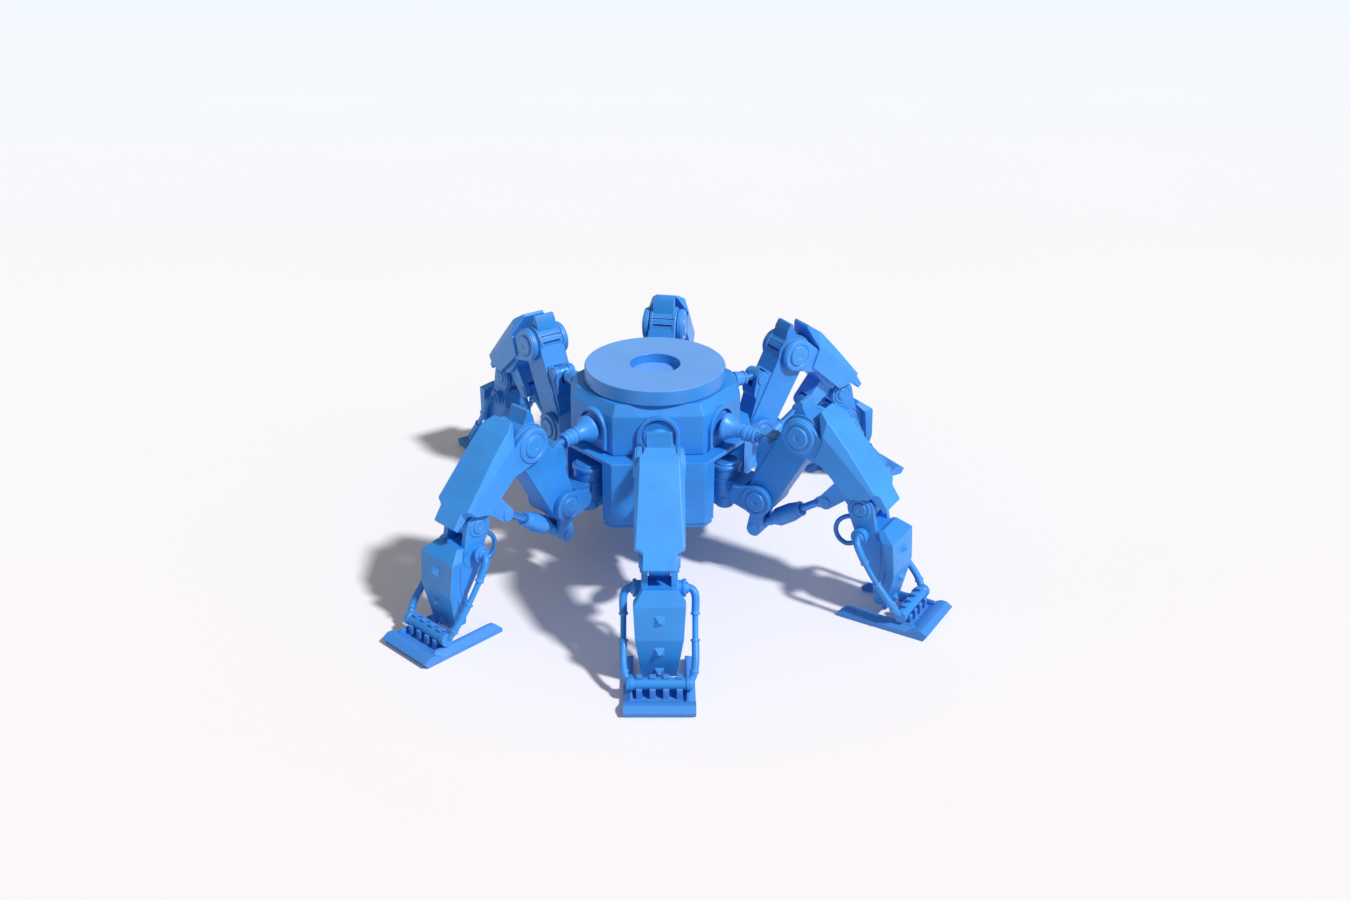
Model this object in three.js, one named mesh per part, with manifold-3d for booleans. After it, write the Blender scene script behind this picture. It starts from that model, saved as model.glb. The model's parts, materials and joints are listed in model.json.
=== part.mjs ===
// Six-legged walking robot kit.
// Millimetres, +Z up. The origin is on the floor under the centre of the hull, and the front leg points to -Y.
import * as THREE from 'three';
import { mergeVertices } from 'three/addons/utils/BufferGeometryUtils.js';
import Module from 'manifold-3d';

const wasm = await Module();
wasm.setup();

// ---- driving dimensions ----

const GAP = 0.3; // between pieces that touch
const RUN = 0.5; // between a moving piece and its neighbour

// hull
const LID_RADIUS = 65;
const LID_TOP = 184;
const LID_THICKNESS = 14.5;
const POCKET_RADIUS = 23;
const POCKET_DEPTH = 9.4;
const SPIGOT_RADIUS = 19;
const SHOULDER_Z = 159;
const SHOULDER_INSET = 6;
const SHELF_Z = 121; // top of the lower casing, which is wider than the upper one
const SHELF_THICKNESS = 3.4;
const HULL_BOTTOM = 59;
const BASE_THICKNESS = 3;
const WALL = 3;
const UPPER_CORNERS = { front: [41, 65], side: [78, 17.5] };
const LOWER_CORNERS = { front: [42.6, 82], side: [90, 22.4] };
const NOTCH_RADIUS = 16.5; // in the lower casing, round each hip drum

// legs: the facet that each one stands on, and how far it is swung at rest, in degrees from -Y towards +X
const LEGS = {
  front: { facet: 0, swing: -2.4 },
  front_right: { facet: 51.5, swing: 4.8 },
  rear_right: { facet: 128.5, swing: -9.6 },
  rear: { facet: 180, swing: -12 },
  rear_left: { facet: -128.5, swing: -19.2 },
  front_left: { facet: -51.5, swing: 4.3 },
};
const YAW_RADIUS = 80; // hip drum's axis from the hull's axis

// pivots in a leg's own plane: x outwards from the hip drum's axis, z up from the floor
const HIP = { x: 42, z: 85 };
const KNEE = { x: 81, z: 159 };
const ANKLE = { x: 142, z: 103 };
const TOE_PIVOT = { x: 191, z: 16 };
const STRUT_BALL = { x: 0, z: 142 };
const STRUT_EYE = { x: 45.5, z: 138.5 };
const RAM_BASE = { x: 36, z: 51 };
const RAM_EYE = { x: 106, z: 98 };

// hip drum
const DRUM_RADIUS = 13.8;
const DRUM_RIM = 15;
const DRUM_BOTTOM = 76;
const DRUM_SEAM = 94;
const DRUM_TOP = 109.5;
const POST_RADIUS = 8.3; // the fixed post under the drum
const POST_BOTTOM = 62;
const KINGPIN_RADIUS = 5;
const KINGPIN_TOP = 103;

// half thicknesses across the leg
const LINK_HALF = 13.8; // thigh
const CHEEK_IN = 14.4; // inner faces of the cheeks on both sides of the thigh
const CHEEK_OUT = 19;
const DISC_OUT = 22;
const LUG_HALF = 4.6; // rod eyes
const TANG_HALF = 9; // shank's end in the ankle fork
const FORK_IN = 9.6;
const FORK_OUT = 15;

// round ends
const HIP_END = 14.5;
const KNEE_END = 16.5;
const ANKLE_END = 12.5;
const PIN_RADIUS = 4.5;
const EYE_RADIUS = 7;
const EYE_PIN = 2.3;
const EYE_BORE = 4.9; // wide, because each rod's eye is the open pivot of its linkage

// strut between hull and thigh
const BALL_RADIUS = 6;
const STRUT_MOUTH = 12.5;
const STRUT_RADIUS = 6.2;
const STRUT_BARREL_END = 31;
const STRUT_ROD = 3.8;
const STRUT_ROD_START = 17;

// knee ram
const RAM_RADIUS = 8.6;
const RAM_BARREL_END = 52;
const RAM_ROD = 3.6;
const RAM_ROD_START = 26;
const RAM_STROKE = 16; // room behind the rod's end

// armour on the shank, along it (s) and outwards from its axis (n)
const ARMOUR_TIP = -4.5;
const ARMOUR_END = 98;
const ARMOUR_CREASE = 22; // where the bevels meet the side walls
const ARMOUR_OUT = 32.5;
const ARMOUR_HALF = 21;
const ARMOUR_TONGUE = 13.6; // half width of its lower end

// shin and foot
const SHIELD_TOP = { x: 165, z: 89 };
const SHIELD_BROW = { x: 177.5, z: 80 };
const SHIELD_CREASE = { x: 180, z: 50 };
const SHIELD_BOTTOM = { x: 172.5, z: 10 };
const TUBE_RADIUS = 2.6;
const CAGE_HALF = 29.5;
const CROSSBAR_RADIUS = 5;
const FOOT_HALF = 29.7;
const RAIL_WIDTH = 8;
const TOE_END = 218.5;
const HEEL_END = 133;
const SOLE_THICKNESS = 5;

const degrees = (angle) => (angle * Math.PI) / 180;
const distance = (a, b) => Math.hypot(b.x - a.x, b.z - a.z);
const slopeDown = (a, b) => Math.atan2(a.z - b.z, b.x - a.x);

// ---- solids ----

function toSolid(geometry) {
  const clean = geometry.clone();
  clean.deleteAttribute('normal');
  clean.deleteAttribute('uv');
  const welded = mergeVertices(clean, 1e-4);
  return new wasm.Manifold(
    new wasm.Mesh({
      numProp: 3,
      vertProperties: new Float32Array(welded.attributes.position.array),
      triVerts: new Uint32Array(welded.index.array),
    }),
  );
}

function toGeometry(solid) {
  const mesh = solid.asOriginal().simplify(0.1).getMesh();
  const geometry = new THREE.BufferGeometry();
  geometry.setAttribute('position', new THREE.BufferAttribute(mesh.vertProperties, 3));
  geometry.setIndex(new THREE.BufferAttribute(mesh.triVerts, 1));
  return geometry;
}

function join(...solids) {
  return solids.reduce((sum, solid) => sum.add(solid));
}

function cut(solid, ...tools) {
  return tools.reduce((rest, tool) => rest.subtract(tool), solid);
}

// an outline in the X-Z plane, thickened from y0 to y1
function plate(shape, y0, y1, curveSegments = 3) {
  const geometry = new THREE.ExtrudeGeometry(shape, { depth: y1 - y0, bevelEnabled: false, curveSegments });
  geometry.rotateX(Math.PI / 2);
  geometry.translate(0, y1, 0);
  return toSolid(geometry);
}

// an outline in the X-Y plane, raised from z0 to z1
function slab(shape, z0, z1, curveSegments = 12) {
  const geometry = new THREE.ExtrudeGeometry(shape, { depth: z1 - z0, bevelEnabled: false, curveSegments });
  geometry.translate(0, 0, z0);
  return toSolid(geometry);
}

function polygon(points) {
  return new THREE.Shape(points.map(([x, y]) => new THREE.Vector2(x, y)));
}

// two round ends joined by their tangents
function linkShape(a, radiusA, b, radiusB) {
  const angle = Math.atan2(b.z - a.z, b.x - a.x);
  const lean = Math.acos((radiusA - radiusB) / distance(a, b));
  const shape = new THREE.Shape();
  shape.absarc(a.x, a.z, radiusA, angle + lean, angle - lean + 2 * Math.PI, false);
  shape.absarc(b.x, b.z, radiusB, angle - lean, angle + lean, false);
  return shape;
}

function cylinderY(at, radius, y0, y1, segments = 12) {
  const geometry = new THREE.CylinderGeometry(radius, radius, y1 - y0, segments);
  geometry.translate(at.x, (y0 + y1) / 2, at.z);
  return toSolid(geometry);
}

// a turned piece about Z: [radius, z] pairs from the axis round to the axis
function turnedZ(profile, segments = 12) {
  const geometry = new THREE.LatheGeometry(profile.map(([r, z]) => new THREE.Vector2(r, z)), segments);
  geometry.rotateX(Math.PI / 2);
  return toSolid(geometry);
}

// a turned piece about X: [x, radius] pairs from the axis round to the axis
function turnedX(profile, segments = 12) {
  const geometry = new THREE.LatheGeometry(profile.map(([x, r]) => new THREE.Vector2(r, x)), segments);
  geometry.rotateZ(-Math.PI / 2);
  return toSolid(geometry);
}

function box(x0, x1, y0, y1, z0, z1) {
  const geometry = new THREE.BoxGeometry(x1 - x0, y1 - y0, z1 - z0);
  geometry.translate((x0 + x1) / 2, (y0 + y1) / 2, (z0 + z1) / 2);
  return toSolid(geometry);
}

function bothSides(make) {
  const right = make();
  return right.add(right.mirror([0, 1, 0]));
}

// ---- materials ----

function blue(color, roughness, metalness) {
  return new THREE.MeshStandardMaterial({ color, roughness, metalness });
}

const hullPaint = blue(0x3f8fe0, 0.5, 0.1);
const lidPaint = blue(0x6ea6ee, 0.45, 0.1);
const framePaint = blue(0x3680d0, 0.5, 0.2);
const armourPaint = blue(0x4a9cf5, 0.45, 0.1);
const rodMetal = blue(0x5aa5f0, 0.3, 0.6);
const soleRubber = blue(0x2f74c0, 0.8, 0);
const cellWrap = blue(0x2c68a8, 0.6, 0);
const boardMask = blue(0x2b6fb5, 0.5, 0);

function piece(name, solid, material) {
  const mesh = new THREE.Mesh(toGeometry(solid), material.clone());
  mesh.name = name;
  return mesh;
}

// ---- hull ----

// an eight-sided plan, moved outwards by the given distance
function plan({ front, side }, grow) {
  const corners = [];
  for (const [sx, sy] of [[1, -1], [1, 1], [-1, 1], [-1, -1]]) {
    const pair = [[sx * front[0], sy * front[1]], [sx * side[0], sy * side[1]]];
    corners.push(...(sx === -sy ? pair : pair.reverse()));
  }
  const count = corners.length;
  return corners.map((corner, i) => {
    const before = corners[(i + count - 1) % count];
    const after = corners[(i + 1) % count];
    return moveCorner(before, corner, after, grow);
  });
}

// the corner where two sides meet after each has moved outwards
function moveCorner(before, corner, after, grow) {
  const normal = ([ax, ay], [bx, by]) => {
    const length = Math.hypot(bx - ax, by - ay);
    return [(by - ay) / length, (ax - bx) / length];
  };
  const [ax, ay] = normal(before, corner);
  const [bx, by] = normal(corner, after);
  const scale = grow / (1 + ax * bx + ay * by);
  return [corner[0] + (ax + bx) * scale, corner[1] + (ay + by) * scale];
}

function aroundLegs(make) {
  return Object.values(LEGS).map(({ facet }) => make(facet).rotate([0, 0, facet - 90]));
}

// from the hull's axis to the upper casing's wall behind a leg
function facetDistance(facet) {
  const { front, side } = UPPER_CORNERS;
  if (Math.abs(facet) % 180 === 0) return front[1];
  const run = side[0] - front[0];
  const rise = front[1] - side[1];
  return (front[0] * rise + front[1] * run) / Math.hypot(run, rise);
}

function lidSolid() {
  const bottom = LID_TOP - LID_THICKNESS;
  const edge = 1;
  const spigotBottom = bottom - 6;
  return turnedZ([
    [0, spigotBottom],
    [SPIGOT_RADIUS, spigotBottom],
    [SPIGOT_RADIUS, bottom],
    [LID_RADIUS - edge, bottom],
    [LID_RADIUS, bottom + edge],
    [LID_RADIUS, LID_TOP - edge],
    [LID_RADIUS - edge, LID_TOP],
    [POCKET_RADIUS, LID_TOP],
    [POCKET_RADIUS, LID_TOP - POCKET_DEPTH],
    [0, LID_TOP - POCKET_DEPTH],
  ], 48);
}

// a raised arch around a strut's socket
function socketArch(face) {
  const outer = 19;
  const inner = 15.6;
  const proud = 4;
  const foot = SHELF_Z + 4;
  const shape = new THREE.Shape();
  shape.moveTo(outer, foot);
  shape.absarc(0, STRUT_BALL.z, outer, 0, Math.PI, false);
  shape.lineTo(-outer, foot);
  shape.lineTo(-inner, foot);
  shape.absarc(0, STRUT_BALL.z, inner, Math.PI, 0, true);
  shape.lineTo(inner, foot);
  return plate(shape, -proud, 1).rotate([0, 0, 90]).translate([face, 0, 0]);
}

function strutBall(face) {
  const neck = 3;
  const stem = turnedX([[face - 1, 0], [face - 1, neck], [YAW_RADIUS, neck], [YAW_RADIUS, 0]], 8);
  const ball = toSolid(new THREE.SphereGeometry(BALL_RADIUS, 8, 6).translate(YAW_RADIUS, 0, 0));
  return stem.add(ball).translate([0, 0, STRUT_BALL.z]);
}

function upperCasingSolid() {
  const top = LID_TOP - LID_THICKNESS - GAP;
  const shoulder = top - SHOULDER_Z;
  const bevel = {
    depth: SHOULDER_Z - SHELF_Z + shoulder,
    bevelThickness: shoulder,
    bevelSize: SHOULDER_INSET,
    bevelSegments: 1,
  };
  const shellOf = (grow, drop) => {
    const geometry = new THREE.ExtrudeGeometry(polygon(plan(UPPER_CORNERS, grow - SHOULDER_INSET)), bevel);
    geometry.translate(0, 0, SHELF_Z - shoulder - drop);
    return toSolid(geometry);
  };
  const below = box(-200, 200, -200, 200, 0, SHELF_Z + GAP);
  const shell = cut(shellOf(0, 0), shellOf(-WALL, WALL));
  const mouth = turnedZ([[0, 100], [SPIGOT_RADIUS + GAP, 100], [SPIGOT_RADIUS + GAP, 200], [0, 200]], 32);
  const sockets = aroundLegs((facet) => socketArch(facetDistance(facet)).add(strutBall(facetDistance(facet))));
  return cut(join(shell, ...sockets), below, mouth);
}

// a round bar up through a hip drum's place, from the given height to another
function atDrum(radius, bottom, top, segments = 16) {
  const bar = turnedZ([[0, bottom], [radius, bottom], [radius, top], [0, top]], segments);
  return bar.translate([YAW_RADIUS, 0, 0]);
}

// the fixed post and kingpin that carry a hip drum, on a rib from the wall behind
function hipPost() {
  const top = DRUM_BOTTOM - GAP;
  const rib = box(YAW_RADIUS - NOTCH_RADIUS - 1, YAW_RADIUS, -5, 5, POST_BOTTOM, top);
  const post = atDrum(POST_RADIUS, POST_BOTTOM, top);
  const kingpin = atDrum(KINGPIN_RADIUS, top - 1, KINGPIN_TOP, 8);
  return join(rib, post, kingpin);
}

function lowerCasingSolid() {
  const cableHole = 28;
  const ceiling = SHELF_Z - SHELF_THICKNESS;
  const below = HULL_BOTTOM - 1;
  const outside = slab(polygon(plan(LOWER_CORNERS, 0)), HULL_BOTTOM, SHELF_Z);
  const walls = aroundLegs(() => atDrum(NOTCH_RADIUS + WALL, 0, SHELF_Z));
  const inside = cut(slab(polygon(plan(LOWER_CORNERS, -WALL)), below, ceiling), ...walls);
  const notches = aroundLegs(() => atDrum(NOTCH_RADIUS, below, ceiling));
  const hole = turnedZ([[0, 100], [cableHole, 100], [cableHole, 200], [0, 200]], 32);
  return join(cut(outside, inside, hole, ...notches), ...aroundLegs(hipPost));
}

function basePlateSolid() {
  const top = HULL_BOTTOM - GAP;
  const notches = aroundLegs(() => atDrum(NOTCH_RADIUS + 1, 0, SHELF_Z));
  return cut(slab(polygon(plan(LOWER_CORNERS, -1)), top - BASE_THICKNESS, top), ...notches);
}

function batterySolid() {
  const cells = [-26, 0, 26].map((x) => box(x - 12, x + 12, -35, 35, HULL_BOTTOM + 3, HULL_BOTTOM + 33));
  const tray = box(-40, 40, -38, 38, HULL_BOTTOM, HULL_BOTTOM + 5);
  return join(tray, ...cells);
}

function controllerSolid() {
  const floor = SHELF_Z + GAP;
  const board = box(-40, 40, -40, 40, floor + 6, floor + 8);
  const corners = [[-34, -34], [34, -34], [34, 34], [-34, 34]];
  const feet = corners.map(([x, y]) => box(x - 4, x + 4, y - 4, y + 4, floor, floor + 7));
  const processor = box(-10, 10, -10, 10, floor + 7, floor + 11);
  const sockets = [-28, -10, 10, 28].map((x) => box(x - 6, x + 6, 26, 37, floor + 7, floor + 16));
  return join(board, processor, ...feet, ...sockets);
}

// ---- one leg ----
// Each piece is drawn about its own pivot. Its mesh is then placed in the leg's plane.

const from = (pivot) => (point) => ({ x: point.x - pivot.x, z: point.z - pivot.z });
const CENTRE = { x: 0, z: 0 };

function coxaSolid() {
  const drum = turnedZ([
    [0, DRUM_BOTTOM],
    [DRUM_RADIUS, DRUM_BOTTOM],
    [DRUM_RADIUS, DRUM_SEAM],
    [DRUM_RADIUS - 0.6, DRUM_SEAM],
    [DRUM_RADIUS - 0.6, DRUM_TOP - 5.5],
    [DRUM_RIM, DRUM_TOP - 5],
    [DRUM_RIM, DRUM_TOP - 2.5],
    [DRUM_RIM - 3, DRUM_TOP - 2.5],
    [DRUM_RIM - 3, DRUM_TOP],
    [0, DRUM_TOP],
  ], 16);
  const hole = turnedZ([
    [0, DRUM_BOTTOM - 1],
    [KINGPIN_RADIUS + RUN, DRUM_BOTTOM - 1],
    [KINGPIN_RADIUS + RUN, KINGPIN_TOP + RUN],
    [0, KINGPIN_TOP + RUN],
  ], 8);
  const neck = box(6, 20, -11.5, 11.5, DRUM_BOTTOM + 0.5, DRUM_SEAM);
  const yoke = box(17, HIP.x - HIP_END - 1.5, -CHEEK_OUT, CHEEK_OUT, HIP.z - 9, HIP.z + 9);
  const cheek = bothSides(() => {
    const root = { x: 23, z: HIP.z };
    const side = plate(linkShape(root, 9, HIP, HIP_END), CHEEK_IN, CHEEK_OUT);
    return side.add(cylinderY(HIP, HIP_END - 1.5, CHEEK_OUT - 1, DISC_OUT));
  });
  const pinHole = cylinderY(HIP, PIN_RADIUS + RUN, -DISC_OUT + 2, DISC_OUT - 2, 8);
  return cut(join(drum, neck, yoke, cheek), hole, pinHole);
}

function thighSolid() {
  const at = from(HIP);
  const knee = at(KNEE);
  const eye = at(STRUT_EYE);
  const ram = at(RAM_BASE);
  const main = plate(linkShape(CENTRE, HIP_END, knee, KNEE_END), -LINK_HALF, LINK_HALF);
  const inner = { x: 6, z: 40 };
  const web = plate(linkShape(CENTRE, HIP_END - 1, { x: 14, z: 45 }, 14), -LINK_HALF + 2, LINK_HALF - 2);
  const lug = plate(linkShape(inner, 12, eye, EYE_RADIUS), -LINK_HALF + 3, LINK_HALF - 3);
  const tail = plate(linkShape(CENTRE, 6, ram, EYE_RADIUS), -LINK_HALF + 3, LINK_HALF - 3);
  const horn = [[-9, 12], [-4, 30], [-1, 29.5], [8, 12]].map(([x, z]) => [knee.x + x, knee.z + z]);
  const hook = plate(polygon(horn), -3.2, 3.2);
  const slotHalf = LUG_HALF + RUN;
  const reach = EYE_RADIUS + 2.2;
  const eyeSlot = plate(linkShape(eye, reach, { x: eye.x - 30, z: eye.z + 3 }, reach), -slotHalf, slotHalf);
  const ramSlot = plate(linkShape(ram, reach, { x: ram.x + 24, z: ram.z + 15 }, reach), -slotHalf, slotHalf);
  const pins = [
    cylinderY(eye, EYE_PIN, -slotHalf - 1, slotHalf + 1, 6),
    cylinderY(ram, EYE_PIN, -slotHalf - 1, slotHalf + 1, 6),
    cylinderY(CENTRE, PIN_RADIUS, -DISC_OUT + 3, DISC_OUT - 3, 8),
  ];
  const kneeHole = cylinderY(knee, PIN_RADIUS + RUN, -LINK_HALF - 1, LINK_HALF + 1, 8);
  return cut(join(main, web, lug, tail, hook), eyeSlot, ramSlot, kneeHole).add(join(...pins));
}

// drawn along +X from the ball
function strutBarrelSolid() {
  const outside = turnedX([
    [-1, 0],
    [-1, STRUT_MOUTH],
    [1.5, STRUT_MOUTH],
    [15, STRUT_RADIUS],
    [STRUT_BARREL_END, STRUT_RADIUS],
    [STRUT_BARREL_END, 0],
  ]);
  const cup = BALL_RADIUS + 0.6;
  const inside = turnedX([
    [-2, 0],
    [-2, STRUT_MOUTH - 1.5],
    [2, cup],
    [6.8, STRUT_ROD + RUN],
    [STRUT_BARREL_END + 1, STRUT_ROD + RUN],
    [STRUT_BARREL_END + 1, 0],
  ], 8);
  return cut(outside, inside);
}

// drawn along +X from the ball, with its eye at the given length
function rodSolid(start, length, radius) {
  const shaft = turnedX([[start, 0], [start, radius], [length - 2, radius], [length - 2, 0]], 8);
  const end = { x: length, z: 0 };
  const eye = cylinderY(end, EYE_RADIUS, -LUG_HALF, LUG_HALF, 12);
  const bore = cylinderY(end, EYE_BORE, -LUG_HALF - 1, LUG_HALF + 1, 8);
  return cut(shaft.add(eye), bore);
}

function ramBarrelSolid() {
  const body = turnedX([
    [4, 0],
    [4, 4.2],
    [15, 4.2],
    [25, RAM_RADIUS],
    [40, RAM_RADIUS],
    [RAM_BARREL_END, RAM_RADIUS - 2],
    [RAM_BARREL_END, 0],
  ], 10);
  const eye = cylinderY(CENTRE, EYE_RADIUS, -LUG_HALF, LUG_HALF, 12);
  const eyeHole = cylinderY(CENTRE, EYE_PIN + RUN, -LUG_HALF - 1, LUG_HALF + 1, 8);
  const bore = turnedX([
    [RAM_ROD_START - RAM_STROKE, 0],
    [RAM_ROD_START - RAM_STROKE, RAM_ROD + RUN],
    [RAM_BARREL_END + 1, RAM_ROD + RUN],
    [RAM_BARREL_END + 1, 0],
  ], 8);
  return cut(body.add(eye), eyeHole, bore);
}

// drawn about the knee: x along the shank, z outwards
function shankSolid() {
  const ankle = { x: distance(KNEE, ANKLE), z: 0 };
  return join(armourShell(), shankFrame(ankle));
}

// a deep channel with bevelled edges, a thin tip above the knee and a narrower tongue at its lower end
function armourShell() {
  const side = plate(
    polygon([
      [ARMOUR_TIP, ARMOUR_OUT - 2],
      [ARMOUR_TIP, ARMOUR_OUT - 5],
      [7, ARMOUR_CREASE],
      [17, 18],
      [24, 0],
      [70, 1],
      [81, 17],
      [ARMOUR_END, 15],
      [ARMOUR_END, ARMOUR_CREASE - 1.5],
      [79, ARMOUR_CREASE + 3],
      [34, ARMOUR_OUT - 2],
      [10, ARMOUR_OUT],
    ]),
    -ARMOUR_HALF - 1,
    ARMOUR_HALF + 1,
  );
  const bevelled = polygon([
    [-1, -ARMOUR_HALF],
    [ARMOUR_CREASE, -ARMOUR_HALF],
    [ARMOUR_OUT + 1, -ARMOUR_HALF + 5],
    [ARMOUR_OUT + 1, ARMOUR_HALF - 5],
    [ARMOUR_CREASE, ARMOUR_HALF],
    [-1, ARMOUR_HALF],
  ]);
  const outline = polygon([
    [ARMOUR_TIP - 1, -11],
    [13, -ARMOUR_HALF],
    [79, -ARMOUR_HALF],
    [84, -ARMOUR_TONGUE],
    [ARMOUR_END + 1, -ARMOUR_TONGUE],
    [ARMOUR_END + 1, ARMOUR_TONGUE],
    [84, ARMOUR_TONGUE],
    [79, ARMOUR_HALF],
    [13, ARMOUR_HALF],
    [ARMOUR_TIP - 1, 11],
  ]);
  const profile = new THREE.ExtrudeGeometry(bevelled, { depth: ARMOUR_END + 10, bevelEnabled: false });
  profile.rotateY(Math.PI / 2);
  profile.rotateX(Math.PI);
  profile.translate(ARMOUR_TIP - 2, 0, 0);
  const hollow = box(16, 77.5, -ARMOUR_HALF + 3, ARMOUR_HALF - 3, -2, ARMOUR_CREASE - 0.5);
  return cut(side.intersect(toSolid(profile)).intersect(slab(outline, -1, ARMOUR_OUT + 2)), hollow);
}

function shankFrame(ankle) {
  const reach = { x: 56, z: 8 };
  const cheek = bothSides(() => {
    const side = plate(linkShape(CENTRE, KNEE_END, reach, 12), CHEEK_IN, CHEEK_OUT);
    return side.add(cylinderY(CENTRE, KNEE_END - 4.5, CHEEK_OUT - 1, DISC_OUT));
  });
  const kneePin = cylinderY(CENTRE, PIN_RADIUS, -CHEEK_OUT, CHEEK_OUT, 8);
  const top = ARMOUR_CREASE + 1;
  const rib = polygon([[30, 6], [34, -8], [60, -12], [68, -4], [68, 14], [76, top], [30, top]]);
  const web = plate(rib, -CHEEK_IN - 1, CHEEK_IN + 1);
  const tang = plate(linkShape({ x: 62, z: 0 }, 11, ankle, ANKLE_END), -TANG_HALF, TANG_HALF);
  const tongue = plate(polygon([[62, 14], [92, 14.5], [93, 18], [62, 20]]), -13, 13);
  const turn = slopeDown(KNEE, ANKLE);
  const away = from(KNEE)(RAM_EYE);
  const eye = {
    x: away.x * Math.cos(turn) - away.z * Math.sin(turn),
    z: away.x * Math.sin(turn) + away.z * Math.cos(turn),
  };
  const lug = plate(linkShape({ x: eye.x - 2, z: -6 }, 11, eye, EYE_RADIUS), -LINK_HALF + 3, LINK_HALF - 3);
  const slotHalf = LUG_HALF + RUN;
  const reachIn = EYE_RADIUS + 2.2;
  const slot = plate(linkShape(eye, reachIn, { x: eye.x - 14, z: eye.z - 30 }, reachIn), -slotHalf, slotHalf);
  const eyePin = cylinderY(eye, EYE_PIN, -slotHalf - 1, slotHalf + 1, 6);
  const ankleHole = cylinderY(ankle, PIN_RADIUS + RUN, -TANG_HALF - 1, TANG_HALF + 1, 8);
  return cut(join(cheek, kneePin, web, tang, tongue, lug), slot, ankleHole).add(eyePin);
}

// drawn about the ankle
function shinSolid() {
  const at = from(ANKLE);
  const fork = bothSides(() => {
    const side = plate(linkShape(CENTRE, ANKLE_END, { x: 8, z: -26 }, 10), FORK_IN, FORK_OUT);
    return side.add(cylinderY(CENTRE, ANKLE_END - 3, FORK_OUT - 1, FORK_OUT + 2));
  });
  const pin = cylinderY(CENTRE, PIN_RADIUS, -FORK_OUT, FORK_OUT, 8);
  const hub = { x: 3, z: -24 };
  const core = plate(
    polygon([[-4, -16], [22, -16], [32, -24], [34, -52], [26, -90], [18, -90], [14, -62], [-4, -36]]),
    -FORK_OUT + 1,
    FORK_OUT - 1,
  );
  const axle = cylinderY(hub, 6.5, -CAGE_HALF + 4, CAGE_HALF - 4, 10);
  return join(fork, pin, core, axle, shieldSolid(at), cageSolid(at, hub));
}

// the plate over the front of the shin, thick at its brow
function shieldSolid(at) {
  const [top, brow, crease, bottom] = [SHIELD_TOP, SHIELD_BROW, SHIELD_CREASE, SHIELD_BOTTOM].map(at);
  const band = plate(
    polygon([
      [top.x - 5, top.z - 2],
      [brow.x - 9.5, brow.z - 2],
      [crease.x - 8, crease.z],
      [bottom.x - 4, bottom.z],
      [bottom.x, bottom.z],
      [crease.x, crease.z],
      [brow.x, brow.z],
      [top.x, top.z],
    ]),
    -30,
    30,
  );
  const outline = polygon([
    [-12.6, top.z + 1],
    [-21.5, brow.z],
    [-20, crease.z],
    [-14.6, bottom.z - 1],
    [14.6, bottom.z - 1],
    [20, crease.z],
    [21.5, brow.z],
    [12.6, top.z + 1],
  ]);
  const window = plate(outline, 0, 60).rotate([0, 0, 90]).translate([60, 0, 0]);
  return band.intersect(window);
}

// the tube that runs down both sides and across above the toes
function cageSolid(at, hub) {
  const foot = at(TOE_PIVOT);
  const side = (sign) => [
    new THREE.Vector3(hub.x, sign * (CAGE_HALF - 6), hub.z),
    new THREE.Vector3(hub.x + 6, sign * CAGE_HALF, hub.z - 3),
    new THREE.Vector3(foot.x - 9, sign * CAGE_HALF, foot.z + 12),
    new THREE.Vector3(foot.x, sign * (CAGE_HALF - 4), foot.z),
  ];
  const section = new THREE.Shape();
  section.absarc(0, 0, TUBE_RADIUS, 0, 2 * Math.PI, false);
  const tubes = [1, -1].map((sign) => {
    const extrudePath = new THREE.CatmullRomCurve3(side(sign), false, 'centripetal');
    return toSolid(new THREE.ExtrudeGeometry(section, { steps: 6, curveSegments: 3, extrudePath }));
  });
  const crossbar = cylinderY(foot, CROSSBAR_RADIUS, -CAGE_HALF + 2.5, CAGE_HALF - 2.5, 8);
  return join(crossbar, ...tubes);
}

// drawn about the toe pivot
function footSolid() {
  const floor = -TOE_PIVOT.z;
  const toe = TOE_END - TOE_PIVOT.x;
  const heel = HEEL_END - TOE_PIVOT.x;
  const bar = plate(
    polygon([
      [toe - 19, floor],
      [toe - 3.5, floor],
      [toe, floor + 5.5],
      [toe - 6, floor + 9],
      [toe - 11, floor + 9],
      [toe - 19, floor + 5],
    ]),
    -FOOT_HALF,
    FOOT_HALF,
  );
  const pan = box(-8, toe - 14, -FOOT_HALF + 1, FOOT_HALF - 1, floor, floor + SOLE_THICKNESS);
  const rail = bothSides(() => {
    const inside = FOOT_HALF - RAIL_WIDTH;
    const tread = plate(
      polygon([
        [heel, floor],
        [toe - 14, floor],
        [toe - 14, floor + 4.4],
        [heel + 3, floor + 4.4],
        [heel, floor + 2],
      ]),
      inside,
      FOOT_HALF,
    );
    return tread.add(box(heel + 8, toe - 15, FOOT_HALF - 2.4, FOOT_HALF, floor + 1, floor + 6.8));
  });
  const lugs = [-16.5, -5.5, 5.5, 16.5].map((y) => {
    const stand = polygon([[-7, floor + 2], [7, floor + 2], [7, -2], [1, 0], [2, 7.2], [-3, 7.2], [-7, 3]]);
    return plate(stand, y - 2.5, y + 2.5);
  });
  const bore = cylinderY(CENTRE, CROSSBAR_RADIUS + RUN, -FOOT_HALF, FOOT_HALF, 8);
  return cut(join(bar, pan, rail, ...lugs), bore);
}

function placed(mesh, x, z, turn = 0) {
  mesh.position.set(x, 0, z);
  mesh.rotation.y = turn;
  return mesh;
}

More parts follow.
